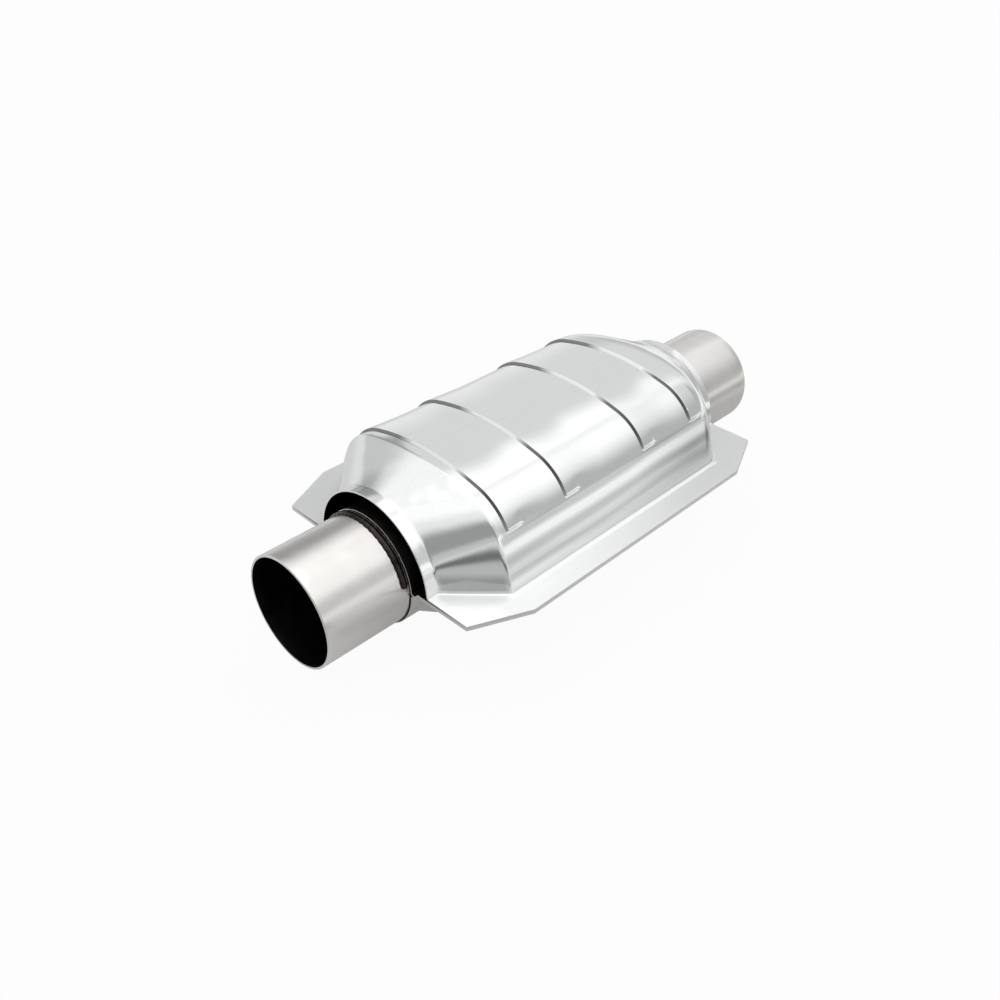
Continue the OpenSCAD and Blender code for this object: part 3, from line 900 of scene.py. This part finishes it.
def weld_row(turn, end):
    """Points across a weld at one turn round the pipe, as (x, y, z), and below its two sides."""
    near = min(turn - end, 180 - end - turn) / math.degrees(WELD_W / 2 / PIPE_OUT)
    wide = WELD_TIP + (1 - WELD_TIP) * math.sqrt(max(0.0, 1 - (1 - min(1, near)) ** 2))
    wobble = 0.05 * math.sin(turn * 0.9) + 0.04 * math.sin(turn * 2.3 + 1)
    row = []
    for w in np.linspace(-1, 1, 17):
        phase = (turn / RIPPLE_TURN + 0.9 * w * w) % 1
        ripple = 1 - RIPPLE_DEPTH + RIPPLE_DEPTH * (1 - phase) ** 1.5
        r = PIPE_OUT - WELD_SINK + (WELD_H + WELD_SINK) * (1 - w * w) ** 0.8 * ripple * wide
        x = WELD_X + WELD_W / 2 * w * wide * (1 + wobble * abs(w))
        row.append((x, r * math.cos(math.radians(turn)), r * math.sin(math.radians(turn))))
    return row + [(x, WELD_ROOT * y, WELD_ROOT * z) for x, y, z in (row[-1], row[0])]


def make_weld(name, node, end, down, flip):
    """Bead of overlapping ripples over a pipe, with rounded ends."""
    count = round((180 - 2 * end) / WELD_STEP)
    rows = np.array([weld_row(turn, end) for turn in np.linspace(end, 180 - end, count + 1)])
    if down:
        rows = rows * (1, 1, -1)
    if flip:
        rows = np.array([TOTAL_L, 0, 0]) + rows * (-1, 1, 1)
    mesh = grid_mesh(name, rows, closed_cols=True)
    obj = link(name, mesh)
    bm = bmesh.new()
    bm.from_mesh(mesh)
    bmesh.ops.holes_fill(bm, edges=[e for e in bm.edges if e.is_boundary], sides=40)
    bm.to_mesh(mesh)
    bm.free()
    finish_mesh(obj, [WELD_METAL], [node])


# Bricks

def oval_quarter(inset):
    """Quarter of the can's oval, taken in by an inset, as (y, z)."""
    (side_c, side_r), (shoulder_c, shoulder_r), (crown_c, crown_r) = arch(CAN)
    low, high = angle_of(shoulder_c - side_c), angle_of(shoulder_c - crown_c)
    points = []
    for centre, radius, start, end in ((side_c, side_r, 0, low), (shoulder_c, shoulder_r, low, high),
                                       (crown_c, crown_r, high, 90)):
        points += [centre + (radius - inset) * direction(a) for a in np.arange(start, end, OVAL_STEP)]
    points.append(crown_c + (crown_r - inset) * direction(90))
    return np.array(points)


def oval(inset):
    quarter = oval_quarter(inset)
    return np.concatenate([
        quarter, quarter[::-1] * (-1, 1), quarter[1:] * (-1, -1), quarter[:0:-1] * (1, -1)])


def inside_oval(outline, y, z, margin):
    """True where a square of half side margin about (y, z) lies inside the outline."""
    a, b = outline, np.roll(outline, -1, 0)
    edge = b - a
    for dy in (-margin, margin):
        for dz in (-margin, margin):
            cross = edge[:, 0] * (z + dz - a[:, 1]) - edge[:, 1] * (y + dy - a[:, 0])
            if cross.min() < 0:
                return False
    return True


def make_brick(name, node, x0):
    """Ceramic brick with square gas channels right through it, and a solid outer skin."""
    outline = oval(BRICK_INSET)
    half_open = (CELL_PITCH - CELL_WALL) / 2
    n_y, n_z = int(CAN["half_w"] / CELL_PITCH), int(CAN["h"] / CELL_PITCH)
    cells = [(i * CELL_PITCH, k * CELL_PITCH) for i in range(-n_y, n_y + 1) for k in range(-n_z, n_z + 1)
             if inside_oval(outline, i * CELL_PITCH, k * CELL_PITCH, half_open + BRICK_SKIN)]
    bm = bmesh.new()
    corners = [(-1, -1), (1, -1), (1, 1), (-1, 1)]
    made = {}

    def vert(x, y, z):
        key = (round(x, 3), round(y, 3), round(z, 3))
        if key not in made:
            made[key] = bm.verts.new((x * MM, y * MM, z * MM))
        return made[key]

    ends = (x0, x0 + BRICK_L)
    for y, z in cells:
        hole = [[vert(x, y + dy * half_open, z + dz * half_open) for dy, dz in corners] for x in ends]
        for k in range(4):
            bm.faces.new((hole[0][k], hole[0][(k + 1) % 4], hole[1][(k + 1) % 4], hole[1][k]))
    for x in ends:
        loop = [vert(x, y, z) for y, z in outline]
        edges = [bm.edges.new((loop[k], loop[(k + 1) % len(loop)])) for k in range(len(loop))]
        for y, z in cells:
            hole = [vert(x, y + dy * half_open, z + dz * half_open) for dy, dz in corners]
            edges += [bm.edges.get((hole[k], hole[(k + 1) % 4])) for k in range(4)]
        bmesh.ops.triangle_fill(bm, use_beauty=False, edges=edges, normal=(1, 0, 0))
    count = len(outline)
    for k in range(count):
        a, b = outline[k], outline[(k + 1) % count]
        bm.faces.new((vert(ends[0], *a), vert(ends[0], *b), vert(ends[1], *b), vert(ends[1], *a)))
    mesh = bpy.data.meshes.new(name)
    bm.to_mesh(mesh)
    bm.free()
    obj = link(name, mesh)
    finish_mesh(obj, [CERAMIC], [node])


# Stage

# The floor's own tone, what the camera sees of its white, and its brightness in reflections: in
# general, towards +Y, and on the dark cards
FLOOR_R = 6
FLOOR_TONE = 0.6
FLOOR_GLOW = 0.95
FLOOR_GLEAM = 1.0
FAR_TONE = 0.76
CARD_TONE = 0.12

# Reflected white of the floor: its share near the pieces grows over a ring in metres, is never less
# than a floor value, and falls away towards one side
GLEAM_RING = (0.15, 0.85)
GLEAM_NEAR = 0.3
GLEAM_LEAST = 0.32
DULL_SIDE = (-0.5, -0.866, 0)

# Card on the camera's side, as rings in metres round a place on the floor: a near, fainter one, a
# full one and its fading end
CARD_ROUND = (-0.095, -0.055, 0)
CARD_SIDE = (-0.87, -0.5, 0)
CARD_NEAR = 0.62
CARD_NEAR_RING = (0.085, 0.125)
CARD_RING = (0.28, 0.4)
CARD_END = (0.62, 1.0)

# Small cards beside the pipes as (x, y, depth, inner radius, outer radius), in metres
SPOTS = [
    (0.19, -0.04, 0.6, 0.04, 0.14),
    (0.31, -0.19, 0.75, 0.06, 0.15),
    (0.29, 0.13, 0.7, 0.06, 0.16),
    (-0.1, -0.09, 0.6, 0.03, 0.1),
]
TENT_R = 5.5
TENT_TOP = 1.18
OVERHEAD = 2.2


def rise(v, start, end):
    return smooth_step((v - start) / (end - start))


def band(v, low, high, soft):
    return smooth_step((v - low) / soft + 0.5) * smooth_step((high - v) / soft + 0.5)


def blend(level, other, share):
    return level + (other - level) * share


def tent_level(az, el):
    """Brightness of the tent by direction: azimuth 0 is -Y and 90 is +X, elevation 0 is level."""
    level = 0.78 + 0.26 * rise(el, 0, 40)

    # Far left of the camera, towards +Y
    far = 0.8 - 0.18 * rise(el, 12, 20) + 0.42 * rise(el, 34, 56)
    level = blend(level, far, rise(abs(az), 150, 168))

    # Camera's right, with a slanting lower edge to the white, and a bright strip low in it
    right = blend(0.5, TENT_TOP, rise(el - 0.22 * (az - 40), 9, 42))
    level = blend(level, right, band(az, -12, 92, 14))
    strip = 0.64 + 0.45 * band(el, 1, 10, 5) + (TENT_TOP - 0.64) * rise(el, 28, 44)
    level = blend(level, strip, band(az, -12, 33.5, 5))

    # Behind the part: a grey wall with a slanting upper edge, then a dark panel to its left
    edge = 40 + 0.4 * (az - 111)
    wall = 0.755 + 0.13 * (1 - rise(el, 4, 20)) * rise(az, 132, 138)
    wall -= 0.2 * (1 - rise(el, 5, 18)) * (1 - rise(az, 128, 136))
    behind = blend(wall, TENT_TOP, rise(el, edge - 4.5, edge + 4.5))
    level = blend(level, behind, band(az, 105, 152, 8))
    dark = 0.47 - 0.11 * rise(el, 10, 16) + 0.7 * rise(el, 32, 60)
    level = blend(level, dark, band(az, 150 - 5 * rise(el, 12, 20), 166, 3))

    # Camera's own side, where the room is dark, and the soft box overhead
    shade = 0.34 + 0.24 * (1 - rise(el, 4, 9)) + 0.56 * rise(el, 22, 36) + 0.22 * rise(el, 36, 52)
    level = blend(level, shade, band(az, -106, -16, 12))
    return blend(level, OVERHEAD, rise(el, 68, 78))


def glow_by_attribute(name):
    """Emission that reads its strength from the mesh."""
    mat = bpy.data.materials.new(name)
    mat.use_nodes = True
    tree = mat.node_tree
    tree.nodes.remove(tree.nodes["Principled BSDF"])
    level = tree.nodes.new("ShaderNodeAttribute")
    level.attribute_name = "level"
    glow = tree.nodes.new("ShaderNodeEmission")
    tree.links.new(level.outputs["Fac"], glow.inputs["Strength"])
    tree.links.new(glow.outputs[0], tree.nodes["Material Output"].inputs["Surface"])
    mat.cycles.emission_sampling = "NONE"
    return mat


def make_tent(floor_z):
    """Studio walls and soft boxes as one dome on the floor, which light and reflections see."""
    azimuths = np.arange(-180, 180, 2.0)
    elevations = np.concatenate([np.arange(0, 80, 1.5), [80, 84, 88, 89.9]])
    az, el = np.meshgrid(azimuths, elevations)
    a, e = np.radians(az), np.radians(el)
    rows = np.stack([np.sin(a) * np.cos(e), -np.cos(a) * np.cos(e), np.sin(e)], -1) * TENT_R / MM
    mesh = grid_mesh("tent", rows, closed_cols=True)
    level = mesh.attributes.new("level", "FLOAT", "POINT")
    level.data.foreach_set("value", tent_level(az, el).ravel())
    tent = link("tent", mesh)
    tent.location = (MID_X * MM, 0, floor_z)
    tent.visible_camera = False
    tent.data.materials.append(glow_by_attribute("tent"))


def floor_cards(mat, spot):
    """1 on the dark cards that reflections see on the floor, 0 beside them."""
    away = vector_calc(mat, "SUBTRACT", spot, CARD_ROUND)
    reach = vector_calc(mat, "LENGTH", away)
    facing = vector_calc(mat, "DOT_PRODUCT", vector_calc(mat, "NORMALIZE", away), CARD_SIDE)
    card = calc(mat, "MAXIMUM", spread(mat, reach, 0, CARD_NEAR, *CARD_NEAR_RING),
                spread(mat, reach, 0, 1, *CARD_RING))
    card = product(mat, card, spread(mat, reach, 1, 0, *CARD_END), spread(mat, facing, 0, 1, 0.1, 0.4))
    for x, y, depth, inner, outer in SPOTS:
        distance = vector_calc(mat, "DISTANCE", spot, (x, y, 0))
        card = calc(mat, "MAXIMUM", card, spread(mat, distance, depth, 0, inner, outer))
    return card


def floor_finish():
    """Pale floor that keeps the shadow. Camera and reflections see it nearer to white, the latter
    with dark cards on it at the camera's side and beside the pipes."""
    mat, shader = node_setup("floor", (FLOOR_TONE,) * 3, 0.0, 0.7)
    shader.inputs["Specular IOR Level"].default_value = 0.0
    path = add(mat, "ShaderNodeLightPath")
    camera = path.outputs["Is Camera Ray"]
    reflection = calc(mat, "MAXIMUM", path.outputs["Is Glossy Ray"], path.outputs["Is Transmission Ray"])
    spot = add(mat, "ShaderNodeTexCoord").outputs["Object"]
    toward = vector_calc(mat, "NORMALIZE", spot)

    side = spread(mat, vector_calc(mat, "DOT_PRODUCT", toward, DULL_SIDE), 1, 0, 0.55, 0.85)
    gleam = product(mat, spread(mat, vector_calc(mat, "LENGTH", spot), GLEAM_NEAR, 1, *GLEAM_RING), side)
    gleam = product(mat, calc(mat, "MAXIMUM", gleam, GLEAM_LEAST), reflection)
    card = product(mat, floor_cards(mat, spot), reflection)
    share = calc(mat, "MAXIMUM", calc(mat, "MAXIMUM", gleam, card), product(mat, camera, FLOOR_GLOW))

    far = spread(mat, vector_calc(mat, "DOT_PRODUCT", toward, (0, 1, 0)), 1.0, FAR_TONE, 0.3, 0.8)
    reflected = product(mat, spread(mat, card, FLOOR_GLEAM, CARD_TONE, 0, 1), far)
    glow = add(mat, "ShaderNodeEmission")
    join(mat, calc(mat, "MAXIMUM", reflected, camera), glow.inputs["Strength"])
    mix = add(mat, "ShaderNodeMixShader")
    join(mat, share, mix.inputs["Fac"])
    join(mat, shader.outputs[0], mix.inputs[1])
    join(mat, glow.outputs[0], mix.inputs[2])
    join(mat, mix.outputs[0], mat.node_tree.nodes["Material Output"].inputs["Surface"])
    return mat


def make_floor(floor_z):
    mesh = bpy.data.meshes.new("floor")
    bm = bmesh.new()
    bmesh.ops.create_circle(bm, cap_ends=True, radius=FLOOR_R, segments=96)
    bm.to_mesh(mesh)
    bm.free()
    floor = link("floor", mesh)
    floor.location = (MID_X * MM, 0, floor_z)
    floor.data.materials.append(floor_finish())


def make_world():
    world = bpy.data.worlds.new("white")
    bpy.context.scene.world = world
    world.use_nodes = True
    background = world.node_tree.nodes["Background"]
    background.inputs["Color"].default_value = (1, 1, 1, 1)
    background.inputs["Strength"].default_value = 1.0


CAMERA_AT = (-194.2, -323.4, 326.5)
CAMERA_AZIMUTH = -45.95
CAMERA_ELEVATION = 35.52
CAMERA_ROLL = 0.85
FOCAL_PX = 1046.1
FRAME_PX = 1000
SENSOR_W = 36
FLOOR_DROP = 0.2


def make_camera():
    a, e, roll = (math.radians(v) for v in (CAMERA_AZIMUTH, CAMERA_ELEVATION, CAMERA_ROLL))
    back = Vector((math.sin(a) * math.cos(e), -math.cos(a) * math.cos(e), math.sin(e)))
    right = (-back).cross(Vector((0, 0, 1))).normalized()
    up = right.cross(-back)
    right, up = (right * math.cos(roll) + up * math.sin(roll),
                 up * math.cos(roll) - right * math.sin(roll))
    data = bpy.data.cameras.new("camera")
    data.sensor_width = SENSOR_W
    data.lens = FOCAL_PX / FRAME_PX * SENSOR_W
    data.clip_start = 0.01
    data.clip_end = 50
    camera = bpy.data.objects.new("camera", data)
    camera.matrix_world = Matrix.Translation(Vector(CAMERA_AT) * MM) @ Matrix(
        (right, up, back)).transposed().to_4x4()
    bpy.context.scene.collection.objects.link(camera)
    bpy.context.scene.camera = camera


make_camera()
floor_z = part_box("lower_shell")[0].z - FLOOR_DROP * MM
make_floor(floor_z)
make_tent(floor_z)
make_world()
bpy.context.scene.view_settings.view_transform = "Standard"

make_shield()
make_can_half("can_upper", "upper_shell", down=False)
make_can_half("can_lower", "lower_shell", down=True)
for end, flip in (("inlet", False), ("outlet", True)):
    make_neck(f"neck_{end}", f"{end}_pipe", flip)
for end, flip in (("inlet", False), ("outlet", True)):
    make_weld(f"weld_{end}_top", f"{end}_upper_weld", UPPER_WELD_END, down=False, flip=flip)
    make_weld(f"weld_{end}_bottom", f"{end}_lower_weld", LOWER_WELD_END, down=True, flip=flip)
for k, end in enumerate(("front", "rear")):
    make_brick(f"honeycomb_{end}", f"{end}_brick", BRICK_X + k * (BRICK_L + BRICK_GAP))

for node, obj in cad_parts.items():
    for ending, finish in (("_mat", FIBRE), ("_seal", KNITTED_WIRE)):
        if node.endswith(ending):
            obj.data.materials.clear()
            obj.data.materials.append(finish)
